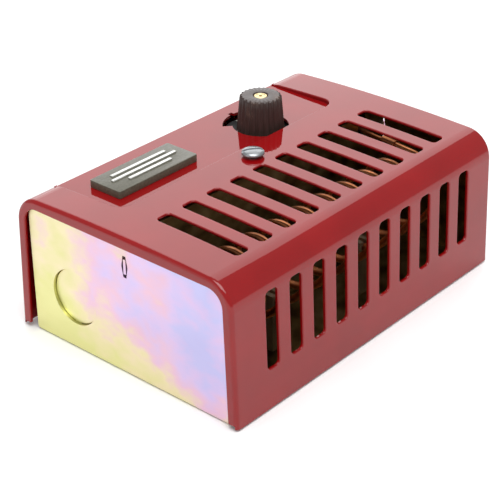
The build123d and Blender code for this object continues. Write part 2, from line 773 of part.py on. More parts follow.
with BuildPart() as bellows_cup:
    bar(knob_x, knob_y, sheet, cup_radius, cup_top - sheet)
    bar(knob_x, knob_y, sheet + cup_wall, cup_radius - cup_wall, cup_top, mode=Mode.SUBTRACT)
    with Locations((knob_x, knob_y - cup_radius, capillary_low)):
        Cylinder(capillary_radius + 0.05, 4, rotation=(90, 0, 0), mode=Mode.SUBTRACT)
bellows_cup.part.label = "bellows_cup"
export_step(bellows_cup.part, "parts/bellows_cup.step")

# Convoluted brass tube, closed at both ends.
bellows_foot = sheet + cup_wall
fold = (bellows_top - bellows_foot) / bellows_folds
with BuildPart() as bellows:
    with BuildSketch(Plane.XZ.offset(-knob_y)):
        with BuildLine():
            crest = [(knob_x, bellows_foot)]
            for index in range(bellows_folds):
                crest.append((knob_x + bellows_inner, bellows_foot + index * fold))
                crest.append((knob_x + bellows_outer, bellows_foot + (index + 0.3) * fold))
                crest.append((knob_x + bellows_outer, bellows_foot + (index + 0.7) * fold))
            crest.append((knob_x + bellows_inner, bellows_top))
            crest.append((knob_x, bellows_top))
            Polyline(*crest, close=True)
        make_face()
    revolve(axis=Axis((knob_x, knob_y, 0), (0, 0, 1)))
    bar(
        knob_x, knob_y, bellows_foot + 0.5, bellows_inner - 0.5, bellows_top - bellows_foot - 1,
        mode=Mode.SUBTRACT,
    )
bellows.part.label = "bellows"
export_step(bellows.part, "parts/bellows.step")

with BuildPart() as bellows_stem:
    bar(knob_x, knob_y, bellows_top + 0.05, bellows_inner - 0.5, 1)
    bar(knob_x, knob_y, bellows_top + 1.05, 2.5, lever_z - 0.3 - bellows_top - 1.05)
    fillet(bellows_stem.edges().group_by(Axis.Z)[-1], radius=1)
bellows_stem.part.label = "bellows_stem"
export_step(bellows_stem.part, "parts/bellows_stem.step")

# ---------------------------------------------------------------- switch
with BuildPart() as switch_liner:
    block(
        (switch_near - 2, switch_far + 2),
        (knob_y - switch_width / 2 - 2, knob_y + switch_width / 2 + 2),
        (sheet, switch_foot),
    )
    for x, y in switch_screw_places:
        bar(x, y, sheet, small_screw + 0.1, liner_thick, mode=Mode.SUBTRACT)
switch_liner.part.label = "switch_liner"
export_step(switch_liner.part, "parts/switch_liner.step")

# Moulded switch body with a terminal step and two ribs between the three terminals.
with BuildPart() as switch_body:
    block(
        (switch_near, switch_far),
        (knob_y - switch_width / 2, knob_y + switch_width / 2),
        (switch_foot, switch_top),
    )
    fillet(switch_body.edges().filter_by(Axis.Z), radius=1.5)
    fillet(switch_body.faces().sort_by(Axis.Z)[-1].edges(), radius=0.6)
    for rib in (-1, 1):
        with Locations((terminal_x, knob_y + rib * terminal_pitch / 2, switch_top)):
            Box(rib_length, rib_thick, 3.5, align=on_foot)
    with Locations((plunger_x, knob_y, switch_top)):
        Cylinder(plunger_radius + 2, 1.2, align=on_foot)
    bar(plunger_x, knob_y, switch_top - 6, plunger_radius + running_gap, 10, mode=Mode.SUBTRACT)
    for x, y in switch_screw_places:
        bar(x, y, switch_foot, small_screw + 0.1, switch_top, mode=Mode.SUBTRACT)
    with Locations((terminal_x, knob_y, switch_top)):
        with GridLocations(1, terminal_pitch, 1, 3):
            Cylinder(small_screw + 0.1, 6, align=under, mode=Mode.SUBTRACT)
switch_body.part.label = "switch_body"
export_step(switch_body.part, "parts/switch_body.step")

with BuildPart() as switch_plunger:
    bar(plunger_x, knob_y, switch_top - 2.5, plunger_radius, plunger_top - switch_top + 2.5)
    fillet(switch_plunger.edges().group_by(Axis.Z)[-1], radius=1)
switch_plunger.part.label = "switch_plunger"
export_step(switch_plunger.part, "parts/switch_plunger.step")

for row, name in enumerate(terminal_names):
    terminal_y = knob_y + (row - 1) * terminal_pitch
    with BuildPart() as terminal:
        with Locations((terminal_x, terminal_y, switch_top)):
            Box(terminal_length, terminal_width, 1, align=on_foot)
        fillet(terminal.edges().filter_by(Axis.Z), radius=0.8)
        bar(terminal_x, terminal_y, switch_top, small_screw + 0.1, 1, mode=Mode.SUBTRACT)
    terminal.part.label = name
    export_step(terminal.part, f"parts/{name}.step")

with BuildPart() as terminal_screws:
    with Locations((terminal_x, knob_y, switch_top + 1)):
        with GridLocations(1, terminal_pitch, 1, 3):
            add(slotted_head(3.1, 2.2, 20))
            Cylinder(small_screw, 6, align=under)
terminal_screws.part.label = "terminal_screws"
export_step(terminal_screws.part, "parts/terminal_screws.step")

with BuildPart() as switch_screws:
    for x, y in switch_screw_places:
        with Locations((x, y, switch_top)):
            add(slotted_head(3, 2.1, 65))
        bar(x, y, 0.2, small_screw, switch_top - 0.2)
switch_screws.part.label = "switch_screws"
export_step(switch_screws.part, "parts/switch_screws.step")

# ---------------------------------------------------------------- earthing screw
with BuildPart() as ground_screw:
    bar(*ground_place, sheet, 4.4, 0.8)
    with BuildSketch(Plane.XY.offset(sheet + 0.8)):
        with Locations(ground_place):
            RegularPolygon(3.2, 6, major_radius=False)
    extrude(amount=2.2)
    with Locations((*ground_place, sheet + 3)):
        Box(8, 1, 2, mode=Mode.SUBTRACT)
    bar(*ground_place, 0.2, small_screw, sheet - 0.2)
ground_screw.part.label = "ground_screw"
export_step(ground_screw.part, "parts/ground_screw.step")
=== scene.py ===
import json
import math

import bmesh
import bpy
from bpy.props import FloatProperty, FloatVectorProperty, IntProperty, PointerProperty
from mathutils import Matrix, Vector

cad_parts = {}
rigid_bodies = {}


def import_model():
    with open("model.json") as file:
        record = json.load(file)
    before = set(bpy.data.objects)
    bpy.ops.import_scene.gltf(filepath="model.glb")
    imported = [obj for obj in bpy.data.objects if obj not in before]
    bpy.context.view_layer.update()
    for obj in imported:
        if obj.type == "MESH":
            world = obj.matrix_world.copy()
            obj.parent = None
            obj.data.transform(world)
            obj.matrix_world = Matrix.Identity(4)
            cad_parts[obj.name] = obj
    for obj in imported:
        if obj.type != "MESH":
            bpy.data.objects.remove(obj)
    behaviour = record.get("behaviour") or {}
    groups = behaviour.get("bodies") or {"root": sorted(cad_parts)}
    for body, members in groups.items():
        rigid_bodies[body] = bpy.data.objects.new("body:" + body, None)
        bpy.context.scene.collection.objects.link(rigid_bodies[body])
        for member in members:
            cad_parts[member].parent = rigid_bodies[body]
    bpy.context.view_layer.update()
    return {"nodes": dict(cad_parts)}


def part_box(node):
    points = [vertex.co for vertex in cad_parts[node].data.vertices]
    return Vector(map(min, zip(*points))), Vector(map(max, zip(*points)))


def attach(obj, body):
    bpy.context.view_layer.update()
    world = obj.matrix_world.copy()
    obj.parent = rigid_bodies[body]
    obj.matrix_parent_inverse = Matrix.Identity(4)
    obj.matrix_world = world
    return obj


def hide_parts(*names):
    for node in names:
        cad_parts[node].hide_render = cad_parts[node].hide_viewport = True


bl_info = {
    "name": "Vented line voltage thermostat",
    "version": (1, 0, 0),
    "blender": (4, 5, 0),
    "location": "View3D > Sidebar > Thermostat",
    "description": "Finishes and detailed pieces for a wall thermostat with a vented enamel cover",
    "category": "Object",
}

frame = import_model()

MM = 0.001
TAU = 2 * math.pi
MATH = "ShaderNodeMath"
LENS = 107.1
VIEW_PLACE = (-0.3807, -0.3248, 0.3010)
VIEW_TURN = (
    (0.653547, 0.376138, -0.656808),
    (-0.756854, 0.316886, -0.571624),
    (-0.006876, 0.870691, 0.491782),
)
DIAL_VALUES = ("40", "50", "60", "70", "80")
# Degrees round the dial to its first mark, and from there to its last.
DIAL_START = 25
DIAL_SPAN = 60
MARKS_PER_VALUE = 4
# Degrees that the driver slot of the cover screw is turned.
SLOT_TURN = -38
SHANK_RADIUS = 2.0 * MM
HEAD_HEIGHT = 3.0 * MM
# Height of the underside of the nameplate, and how far its bars stand up from its face.
PLATE_FLOOR = 55.2 * MM
BAR_HEIGHT = 0.6 * MM
BAR_HALF_WIDTH = 0.75
# Shift across the plate and half length of each bar, in millimetres.
BARS = ((3.1, 14.0), (0.0, 16.5), (-3.1, 11.0))
# Name, place, side in metres and power in watts of each lamp.
LAMPS = (
    ("overhead", (-0.35, -0.45, 1.5), 1.3, 23.0),
    ("backdrop", (1.65, 1.45, 1.25), 2.6, 33.0),
    ("left_fill", (-1.6, 0.6, 0.5), 1.0, 1.5),
)
WORLD_STRENGTH = 0.45


def linear(code):
    """Turn an sRGB hex code into linear red, green and blue."""
    parts = [int(code[i : i + 2], 16) / 255 for i in (1, 3, 5)]
    return tuple(c / 12.92 if c <= 0.04045 else ((c + 0.055) / 1.055) ** 2.4 for c in parts)


def colour(name, code, description):
    """Describe a colour that a user may change."""
    return FloatVectorProperty(
        name=name, description=description, subtype="COLOR", size=3, min=0, max=1, default=linear(code)
    )


def length(name, millimetres, description):
    """Describe a size that a user may change."""
    return FloatProperty(name=name, description=description, default=millimetres * MM, unit="LENGTH")


class ThermostatColours(bpy.types.PropertyGroup):
    """Colours of the finishes."""

    enamel: colour("Enamel", "#8C0A0E", "Baked enamel of the cover")
    plate_gold: colour("Plate gold", "#DEDC9C", "Thick film of the dichromate plate")
    plate_pink: colour("Plate pink", "#E2BFD2", "Medium film of the dichromate plate")
    plate_cream: colour("Plate cream", "#E6DAB4", "Film of the dichromate plate between gold and pink")
    plate_blue: colour("Plate blue", "#BFBDE4", "Thinnest film of the dichromate plate")
    plate_lilac: colour("Plate lilac", "#D3BFE2", "Thin film of the dichromate plate")
    copper: colour("Copper", "#C07A50", "Drawn copper tube")
    brass: colour("Brass", "#D9BE62", "Turned brass")
    zinc: colour("Zinc", "#A9ADB0", "Bright zinc on the screws")
    phenolic: colour("Phenolic", "#3A2B27", "Moulded phenolic of the knob")
    plate_paint: colour("Plate paint", "#5B594C", "Paint in the hollows of the nameplate")


class ThermostatSizes(bpy.types.PropertyGroup):
    """Sizes of the detailed pieces."""

    knob_radius: length("Knob radius", 8.3, "Radius of the fluted grip")
    knob_flutes: IntProperty(name="Knob flutes", description="Grooves round the grip", default=24, min=6)
    flute_depth: length("Flute depth", 0.75, "Depth of each groove of the grip")
    head_slot: length("Screw slot", 1.2, "Width of the driver slot in the cover screw")
    mark_width: length("Mark width", 0.35, "Width of a line on the dial")


# ---------------------------------------------------------------- nodes
def add_node(tree, kind, inputs=None, **settings):
    """Add one node, set its properties, and fill or link its inputs."""
    node = tree.nodes.new(kind)
    for name, value in settings.items():
        setattr(node, name, value)
    for key, value in (inputs or {}).items():
        if isinstance(value, bpy.types.NodeSocket):
            tree.links.new(value, node.inputs[key])
        elif isinstance(value, tuple) and len(value) == 3 and node.inputs[key].type == "RGBA":
            node.inputs[key].default_value = (*value, 1)
        else:
            node.inputs[key].default_value = value
    return node


def new_finish(name):
    """Start a material with a shader, and give its tree, shader and object coordinates."""
    finish = bpy.data.materials.new(name)
    finish.use_nodes = True
    tree = finish.node_tree
    shader = tree.nodes["Principled BSDF"]
    place = tree.nodes.new("ShaderNodeTexCoord").outputs["Object"]
    return finish, tree, shader, place


def fill(tree, shader, **inputs):
    """Set or link the shader's own sockets."""
    for key, value in inputs.items():
        socket = shader.inputs[key.replace("_", " ")]
        if isinstance(value, bpy.types.NodeSocket):
            tree.links.new(value, socket)
        elif isinstance(value, tuple):
            socket.default_value = (*value, 1)
        else:
            socket.default_value = value


def noise(tree, place, millimetres, detail=3.0, stretch=(1, 1, 1)):
    """Give a noise pattern whose grains are the given size."""
    stretched = add_node(tree, "ShaderNodeMapping", {"Vector": place, "Scale": stretch})
    pattern = add_node(
        tree,
        "ShaderNodeTexNoise",
        {"Vector": stretched.outputs[0], "Scale": 1 / (millimetres * MM), "Detail": detail},
    )
    return pattern.outputs["Fac"]


def ramp(tree, factor, *stops):
    """Give a colour ramp through (place, colour) stops."""
    shades = add_node(tree, "ShaderNodeValToRGB", {"Fac": factor})
    points = shades.color_ramp.elements
    while len(points) < len(stops):
        points.new(0.5)
    for point, (position, shade) in zip(points, stops):
        point.position = position
        point.color = (*shade, 1)
    return shades.outputs["Color"]


def spread(tree, factor, low, high, source=(0.3, 0.7)):
    """Spread a pattern between two values."""
    scaled = add_node(
        tree,
        "ShaderNodeMapRange",
        {"Value": factor, "From Min": source[0], "From Max": source[1], "To Min": low, "To Max": high},
    )
    return scaled.outputs["Result"]


def relief(tree, height, millimetres, strength=0.5, under=None):
    """Turn a pattern into a shallow relief of the given depth."""
    inputs = {"Height": height, "Distance": millimetres * MM, "Strength": strength}
    if under:
        inputs["Normal"] = under
    return add_node(tree, "ShaderNodeBump", inputs).outputs["Normal"]


def red_enamel():
    """Baked enamel on steel: deep, wet gloss with a faint orange peel."""
    shades = bpy.context.scene.thermostat_colours
    finish, tree, shader, place = new_finish("baked_red_enamel_sprayed")
    base = tuple(shades.enamel)
    drift = noise(tree, place, 22, 2)
    body = ramp(tree, drift, (0.3, tuple(c * 0.92 for c in base)), (0.7, tuple(c * 1.08 for c in base)))
    peel = noise(tree, place, 2.2, 1)
    dust = noise(tree, place, 0.6, 2)
    fill(
        tree,
        shader,
        Base_Color=body,
        Roughness=spread(tree, dust, 0.10, 0.2),
        Coat_Weight=1.0,
        Coat_Roughness=0.03,
        Specular_IOR_Level=0.0,
        Normal=relief(tree, peel, 0.02, 0.35),
    )
    shader.inputs["Coat IOR"].default_value = 1.52
    return finish


def dichromate_steel():
    """Yellow dichromate on zinc: gold, pink and lilac film colours outside, and painted shade, a dark
    olive-brown, on every face inside.
    """
    shades = bpy.context.scene.thermostat_colours
    finish, tree, shader, place = new_finish("dichromate_zinc_on_bent_steel")
    parts = add_node(tree, "ShaderNodeSeparateXYZ", {"Vector": place}).outputs
    # The film is thicker, so more golden, towards the foot and towards the knob's side.
    across = spread(tree, parts["Y"], 0.0, 0.56, (-30 * MM, 46 * MM))
    rising = spread(tree, parts["Z"], 0.5, 0.0, (-4 * MM, 24 * MM))
    film_range = (0.62, 1.4)
    cloud = noise(tree, place, 24, 1.5)
    blotch = noise(tree, place, 9, 2.5, (1, 1, 1.6))
    first = add_node(tree, MATH, {0: across, 1: rising}, operation="ADD").outputs[0]
    second = add_node(tree, MATH, {0: cloud, 1: 0.9, 2: first}, operation="MULTIPLY_ADD").outputs[0]
    film = add_node(tree, MATH, {0: blotch, 1: 0.5, 2: second}, operation="MULTIPLY_ADD").outputs[0]
    tint = ramp(
        tree,
        spread(tree, film, 0.0, 1.0, film_range),
        (0.0, tuple(shades.plate_blue)),
        (0.22, tuple(shades.plate_lilac)),
        (0.45, tuple(shades.plate_pink)),
        (0.68, tuple(shades.plate_cream)),
        (1.0, tuple(shades.plate_gold)),
    )
    # Outer faces lie this far in from the ends: first the end plates, then the sunk knockout discs.
    plate_skin = (1.4 * MM, 1.2 * MM)
    disc_skin = (2.4 * MM, 2.2 * MM)
    disc_edge = (11.3 * MM, 11.4 * MM)
    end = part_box("chassis")[1][0]
    disc_low, disc_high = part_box("near_knockout")
    hub = (0, (disc_low[1] + disc_high[1]) / 2, (disc_low[2] + disc_high[2]) / 2)
    away = add_node(tree, MATH, {0: parts["X"]}, operation="ABSOLUTE").outputs[0]
    beyond = spread(tree, away, 0, 1, (end - plate_skin[0], end - plate_skin[1]))
    disc_reach = spread(tree, away, 0, 1, (end - disc_skin[0], end - disc_skin[1]))
    on_end = add_node(tree, "ShaderNodeCombineXYZ", {0: 0.0, 1: parts["Y"], 2: parts["Z"]}).outputs[0]
    disc = add_node(tree, "ShaderNodeVectorMath", {0: on_end, 1: hub}, operation="DISTANCE").outputs["Value"]
    near_disc = spread(tree, disc, 1, 0, disc_edge)
    on_disc = add_node(tree, MATH, {0: disc_reach, 1: near_disc}, operation="MULTIPLY").outputs[0]
    outside = add_node(tree, MATH, {0: beyond, 1: on_disc}, operation="MAXIMUM").outputs[0]
    # Painted shade: faces inside the case get a dark olive-brown in place of the film colours, standing in
    # for the shade that falls inside the case.
    dull = ramp(tree, blotch, (0.3, linear("#5C4B2B")), (0.5, linear("#7C6840")), (0.7, linear("#917D57")))
    tint = add_node(tree, "ShaderNodeMix", {0: outside, 6: dull, 7: tint}, data_type="RGBA").outputs[2]
    grain = noise(tree, place, 0.5, 2, (1, 1, 0.2))
    fill(
        tree,
        shader,
        Base_Color=tint,
        Metallic=1.0,
        Roughness=spread(tree, blotch, 0.3, 0.46),
        Normal=relief(tree, grain, 0.008, 0.4),
    )
    return finish


def copper_tube():
    """Drawn copper: bright red-orange metal that has browned in patches."""
    shades = bpy.context.scene.thermostat_colours
    finish, tree, shader, place = new_finish("drawn_copper_tube")
    base = tuple(shades.copper)
    patch = noise(tree, place, 9, 4)
    tint = ramp(
        tree,
        patch,
        (0.3, tuple(c * 0.5 for c in base)),
        (0.55, base),
        (0.75, tuple(min(1, c * 1.25) for c in base)),
    )
    draw = noise(tree, place, 0.4, 2)
    fill(
        tree,
        shader,
        Base_Color=tint,
        Metallic=1.0,
        Roughness=spread(tree, patch, 0.42, 0.26),
        Normal=relief(tree, draw, 0.006, 0.4),
    )
    return finish


def plated(name, base, rough, grain=0.5, depth=0.008, patch_size=6, swing=0.15):
    """A bright plated or turned metal with slight stain and tool marks."""
    finish, tree, shader, place = new_finish(name)
    patch = noise(tree, place, patch_size, 3)
    tint = ramp(
        tree,
        patch,
        (0.3, tuple(c * (1 - swing) for c in base)),
        (0.7, tuple(min(1, c * (1 + swing * 0.6)) for c in base)),
    )
    marks = noise(tree, place, grain, 2, (1, 1, 4))
    fill(
        tree,
        shader,
        Base_Color=tint,
        Metallic=1.0,
        Roughness=spread(tree, patch, rough * 1.25, rough * 0.8),
        Normal=relief(tree, marks, depth, 0.4),
    )
    return finish


def moulded(name, base, rough, fleck, fleck_size=0.35, coat=0.0, grain=0.05):
    """A moulded plastic with filler flecks just under a skin."""
    finish, tree, shader, place = new_finish(name)
    speck = noise(tree, place, fleck_size, 2)
    drift = noise(tree, place, 7, 2)
    mixed = add_node(tree, MATH, {0: speck, 1: 0.6, 2: drift}, operation="MULTIPLY_ADD").outputs[0]
    tint = ramp(tree, spread(tree, mixed, 0, 1, (0.55, 1.05)), (0.0, base), (0.75, base), (1.0, fleck))
    fill(
        tree,
        shader,
        Base_Color=tint,
        Roughness=spread(tree, drift, rough * 0.85, rough * 1.2),
        Coat_Weight=coat,
        IOR=1.55,
        Normal=relief(tree, speck, grain, 0.3),
    )
    return finish


def cast_nameplate():
    """Die-cast aluminium: satin top faces over sides and hollows filled with dull paint."""
    shades = bpy.context.scene.thermostat_colours
    finish, tree, shader, place = new_finish("cast_aluminium_painted_hollows")
    height = add_node(tree, "ShaderNodeSeparateXYZ", {"Vector": place}).outputs["Z"]
    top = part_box("nameplate")[1][2]
    bright = spread(tree, height, 0, 1, (top - 0.45 * MM, top - 0.3 * MM))
    brush = noise(tree, place, 0.5, 2, (0.15, 1, 1))
    metal = ramp(tree, brush, (0.3, linear("#C4C4C0")), (0.7, linear("#E4E4E0")))
    paint = ramp(
        tree,
        noise(tree, place, 0.8, 2),
        (0.3, tuple(c * 0.8 for c in shades.plate_paint)),
        (0.7, tuple(c * 1.2 for c in shades.plate_paint)),
    )
    tint = add_node(tree, "ShaderNodeMix", {0: bright, 6: paint, 7: metal}, data_type="RGBA").outputs[2]
    fill(
        tree,
        shader,
        Base_Color=tint,
        Metallic=bright,
        Roughness=spread(tree, brush, 0.3, 0.42),
        Normal=relief(tree, brush, 0.01, 0.4),
    )
    return finish


def fibre_sheet():
    """Vulcanised fibre: dull brown sheet with short hairs in its face."""
    finish, tree, shader, place = new_finish("vulcanised_fibre_sheet")
    hair = noise(tree, place, 1.2, 4, (0.25, 1, 1))
    tint = ramp(tree, hair, (0.3, linear("#4B3426")), (0.7, linear("#6E4E39")))
    fill(
        tree,
        shader,
        Base_Color=tint,
        Roughness=spread(tree, hair, 0.6, 0.8),
        Normal=relief(tree, hair, 0.03, 0.5),
    )
    return finish


def natural_nylon():
    """Moulded nylon in a dark brown that is painted shade, for the shade the posts stand in inside the case:
    waxy and slightly see-through at thin edges.
    """
    finish, tree, shader, place = new_finish("moulded_natural_nylon")
    drift = noise(tree, place, 6, 2)
    # Painted shade: the brown stands in for the shade on the posts inside the case, not for the colour of
    # the nylon.
    tint = ramp(tree, drift, (0.3, linear("#5E4E38")), (0.7, linear("#776448")))
    fill(
        tree,
        shader,
        Base_Color=tint,
        Roughness=spread(tree, drift, 0.35, 0.5),
        Subsurface_Weight=0.3,
        Subsurface_Scale=0.001,
        IOR=1.53,
        Normal=relief(tree, noise(tree, place, 0.8, 2), 0.01, 0.3),
    )
    return finish


def coat_nodes(slot_name, finish):
    """Give every CAD node of one material slot its finish."""
    done = 0
    for node in bpy.context.scene.objects:
        if node.type != "MESH" or node.name not in frame_nodes():
            continue
        for holder in node.material_slots:
            if holder.material and holder.material.name.split(".")[0] == slot_name:
                holder.material = finish
                done += 1
    if not done:
        raise RuntimeError(f"no node carries {slot_name}")


def frame_nodes():
    """Names of the CAD nodes."""
    return frame["nodes"]


# ---------------------------------------------------------------- modelling
def clear_choice():
    """Leave nothing selected."""
    if bpy.context.object and bpy.context.object.mode != "OBJECT":
        bpy.ops.object.mode_set(mode="OBJECT")
    bpy.ops.object.select_all(action="DESELECT")


def choose(piece, test, kind="verts"):
    """Select the vertices, edges or faces that pass a test, in edit mode."""
    mesh = bmesh.from_edit_mesh(piece.data)
    for group in (mesh.verts, mesh.edges, mesh.faces):
        for part in group:
            part.select = False
    bpy.context.tool_settings.mesh_select_mode = (kind == "verts", kind == "edges", kind == "faces")
    for part in getattr(mesh, kind):
        part.select_set(bool(test(part)))
    bmesh.update_edit_mesh(piece.data)


def turned(centre, profile, segments=64):
    """Model a turned shape from (radius, height) steps round an upright axis, closed at both ends."""
    clear_choice()
    radius, height = profile[0]
    bpy.ops.mesh.primitive_circle_add(
        vertices=segments, radius=radius, fill_type="NGON", location=(centre[0], centre[1], height)
    )
    piece = bpy.context.object
    bpy.ops.object.mode_set(mode="EDIT")
    bpy.ops.mesh.select_all(action="SELECT")
    for next_radius, next_height in profile[1:]:
        bpy.ops.mesh.extrude_region_move(TRANSFORM_OT_translate={"value": (0, 0, next_height - height)})
        factor = next_radius / radius
        middle = (centre[0], centre[1], next_height)
        bpy.ops.transform.resize(value=(factor, factor, 1), center_override=middle)
        radius, height = next_radius, next_height
    bpy.ops.mesh.select_all(action="SELECT")
    bpy.ops.mesh.normals_make_consistent(inside=False)
    bpy.ops.object.mode_set(mode="OBJECT")
    return piece


def slab(low, high):
    """Model a box between two corners."""
    clear_choice()
    size = [b - a for a, b in zip(low, high)]
    middle = [(a + b) / 2 for a, b in zip(low, high)]
    bpy.ops.mesh.primitive_cube_add(size=1, location=middle, scale=size)
    piece = bpy.context.object
    bpy.ops.object.transform_apply(location=False, rotation=False, scale=True)
    return piece


def cut(piece, tool, operation="DIFFERENCE"):
    """Cut a piece with a tool, or join the two into one solid, and drop the tool."""
    change = piece.modifiers.new("cut", "BOOLEAN")
    change.operation = operation
    change.solver = "EXACT"
    change.object = tool
    apply_changes(piece)
    bpy.data.objects.remove(tool)


def apply_changes(piece):
    """Apply every modifier of a piece."""
    clear_choice()
    piece.select_set(True)
    bpy.context.view_layer.objects.active = piece
    for change in list(piece.modifiers):
        bpy.ops.object.modifier_apply(modifier=change.name)


def soften(piece, millimetres, segments=2, angle=30):
    """Round the sharp edges of a piece."""
    change = piece.modifiers.new("soften", "BEVEL")
    change.width = millimetres * MM
    change.segments = segments
    change.limit_method = "ANGLE"
    change.angle_limit = math.radians(angle)
    apply_changes(piece)


def finish_piece(piece, name, body, finish, nodes=(), smooth=35):
    """Name a piece, bring its place into its mesh, give it its finish and tie it to its body."""
    clear_choice()
    piece.select_set(True)
    bpy.context.view_layer.objects.active = piece
    bpy.ops.object.transform_apply(location=True, rotation=True, scale=True)
    bpy.ops.object.shade_smooth_by_angle(angle=math.radians(smooth))
    piece.name = name
    piece.data.name = name
    piece.data.materials.clear()
    piece.data.materials.append(finish)
    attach(piece, body)
    if nodes:
        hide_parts(*nodes)


def made(name):
    """Find a finish that an earlier step made."""
    finish = bpy.data.materials.get(name)
    if finish is None:
        raise RuntimeError(f"make the finishes first: {name} is missing")
    return finish


class THERMOSTAT_OT_finishes(bpy.types.Operator):
    """Make the finishes and give them to the CAD nodes."""

    bl_idname = "thermostat.finishes"
    bl_label = "Finishes"

    def execute(self, context):
        shades = context.scene.thermostat_colours
        brass = tuple(shades.brass)
        zinc = tuple(shades.zinc)
        coat_nodes("red_enamel", red_enamel())
        coat_nodes("dichromate_steel", dichromate_steel())
        coat_nodes("copper_tube", copper_tube())
        coat_nodes("natural_nylon", natural_nylon())
        # Turned brass is a warm yellow with fine tool lines, and bright zinc a blue-grey with faint stains.
        coat_nodes("turned_brass", plated("turned_brass", brass, 0.24, 0.35, 0.006, 8, 0.12))
        coat_nodes("bright_zinc", plated("bright_zinc_on_steel", zinc, 0.36, 0.4, 0.006, 5, 0.15))
        # Hardened spring steel is a darker neutral grey, and green marks the earthing screw.
        coat_nodes(
            "spring_steel", plated("hardened_spring_steel", linear("#8E8C88"), 0.3, 0.3, 0.005, 4, 0.2)
        )
        coat_nodes(
            "green_screw", plated("green_passivated_steel", linear("#5E8F5A"), 0.32, 0.4, 0.006, 3, 0.25)
        )
        # Moulded phenolic is dark and satin with pale filler flecks, and the dial is a flat, matt black.
        coat_nodes(
            "brown_phenolic",
            moulded("moulded_brown_phenolic", tuple(shades.phenolic), 0.34, linear("#5A463C")),
        )
        coat_nodes(
            "black_phenolic", moulded("moulded_black_phenolic", linear("#191817"), 0.38, linear("#2E2C2A"))
        )
        coat_nodes("black_dial", moulded("matt_black_dial", linear("#0A0A0A"), 0.8, linear("#141414"), 0.2))
        coat_nodes("fibre_sheet", fibre_sheet())
        coat_nodes("cast_nameplate", cast_nameplate())
        return {"FINISHED"}


class THERMOSTAT_OT_knob_insert(bpy.types.Operator):
    """Model the brass insert of the knob with the socket in its end."""

    bl_idname = "thermostat.knob_insert"
    bl_label = "Knob insert"

    def execute(self, context):
        low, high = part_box("knob_insert")
        centre = ((low[0] + high[0]) / 2, (low[1] + high[1]) / 2)
        radius = (high[0] - low[0]) / 2
        top = high[2]
        edge = 0.25 * MM
        dish = 0.12 * MM
        socket_radius = 0.75 * MM
        insert = turned(
            centre,
            [
                (radius, low[2]),
                (radius, top - edge),
                (radius - edge, top),
                (radius - 0.8 * MM, top),
                (radius - 0.9 * MM, top - dish),
                (0.3 * MM, top - dish),
            ],
            48,
        )
        clear_choice()
        bpy.ops.mesh.primitive_cylinder_add(
            vertices=6, radius=socket_radius, depth=3 * MM, location=(centre[0], centre[1], top)
        )
        cut(insert, context.object)
        finish_piece(insert, "socketed_insert", "knob", made("turned_brass"), ["knob_insert"])
        return {"FINISHED"}


class THERMOSTAT_OT_knob(bpy.types.Operator):
    """Model the fluted knob with its turned rim and the hole for its brass insert."""

    bl_idname = "thermostat.knob"
    bl_label = "Knob"

    def execute(self, context):
        sizes = context.scene.thermostat_sizes
        low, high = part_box("knob")
        insert_low, insert_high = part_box("knob_insert")
        centre = ((low[0] + high[0]) / 2, (low[1] + high[1]) / 2)
        foot, top = low[2], high[2]
        foot_radius = (high[0] - low[0]) / 2
        top_radius = sizes.knob_radius
        insert_radius = (insert_high[0] - insert_low[0]) / 2
        flutes = sizes.knob_flutes
        per_flute = 8
        tall = top - foot
        rim_round = 0.5 * MM
        grip_start = 1.2 * MM
        groove_reach = 0.9 * MM
        rim = top - rim_round
        steps = [(foot_radius - 1.2 * MM, foot), (foot_radius, foot), (foot_radius, foot + 0.8 * MM)]
        side_steps = 7
        for i in range(side_steps):
            share = i / (side_steps - 1)
            height = foot + grip_start + share * (rim - foot - grip_start)
            radius = foot_radius + (top_radius - foot_radius) * (height - foot) / tall
            steps.append((radius, height))
        steps += [
            (top_radius - rim_round, top - 0.06 * MM),
            (top_radius - 1.3 * MM, top),
            (insert_radius + 0.5 * MM, top - 0.02 * MM),
            (insert_radius + 0.12 * MM, top - 0.35 * MM),
            (insert_radius + 0.06 * MM, max(insert_low[2], foot + MM)),
        ]
        knob = turned(centre, steps, flutes * per_flute)
        groove_foot = foot + 1.0 * MM
        clear_choice()
        knob.select_set(True)
        context.view_layer.objects.active = knob
        bpy.ops.object.mode_set(mode="EDIT")
        for step in range(1, per_flute):
            share = math.sin(math.pi * step / per_flute) ** 0.8
            depth = sizes.flute_depth * share

            def in_groove(vertex, step=step):
                place = knob.matrix_world @ vertex.co
                away = Vector((place.x - centre[0], place.y - centre[1]))
                turn = math.atan2(away.y, away.x) / TAU * flutes * per_flute
                on_side = away.length > top_radius - groove_reach and place.z > groove_foot
                return on_side and round(turn) % per_flute == step

            choose(knob, in_groove)
            factor = 1 - depth / top_radius
            bpy.ops.transform.resize(
                value=(factor, factor, 1), center_override=(centre[0], centre[1], (foot + top) / 2)
            )
        bpy.ops.object.mode_set(mode="OBJECT")
        soften(knob, 0.12, 2, 40)
        finish_piece(
            knob, "fluted_knob", "knob", made("moulded_brown_phenolic"), ["knob"], 50
        )
        return {"FINISHED"}


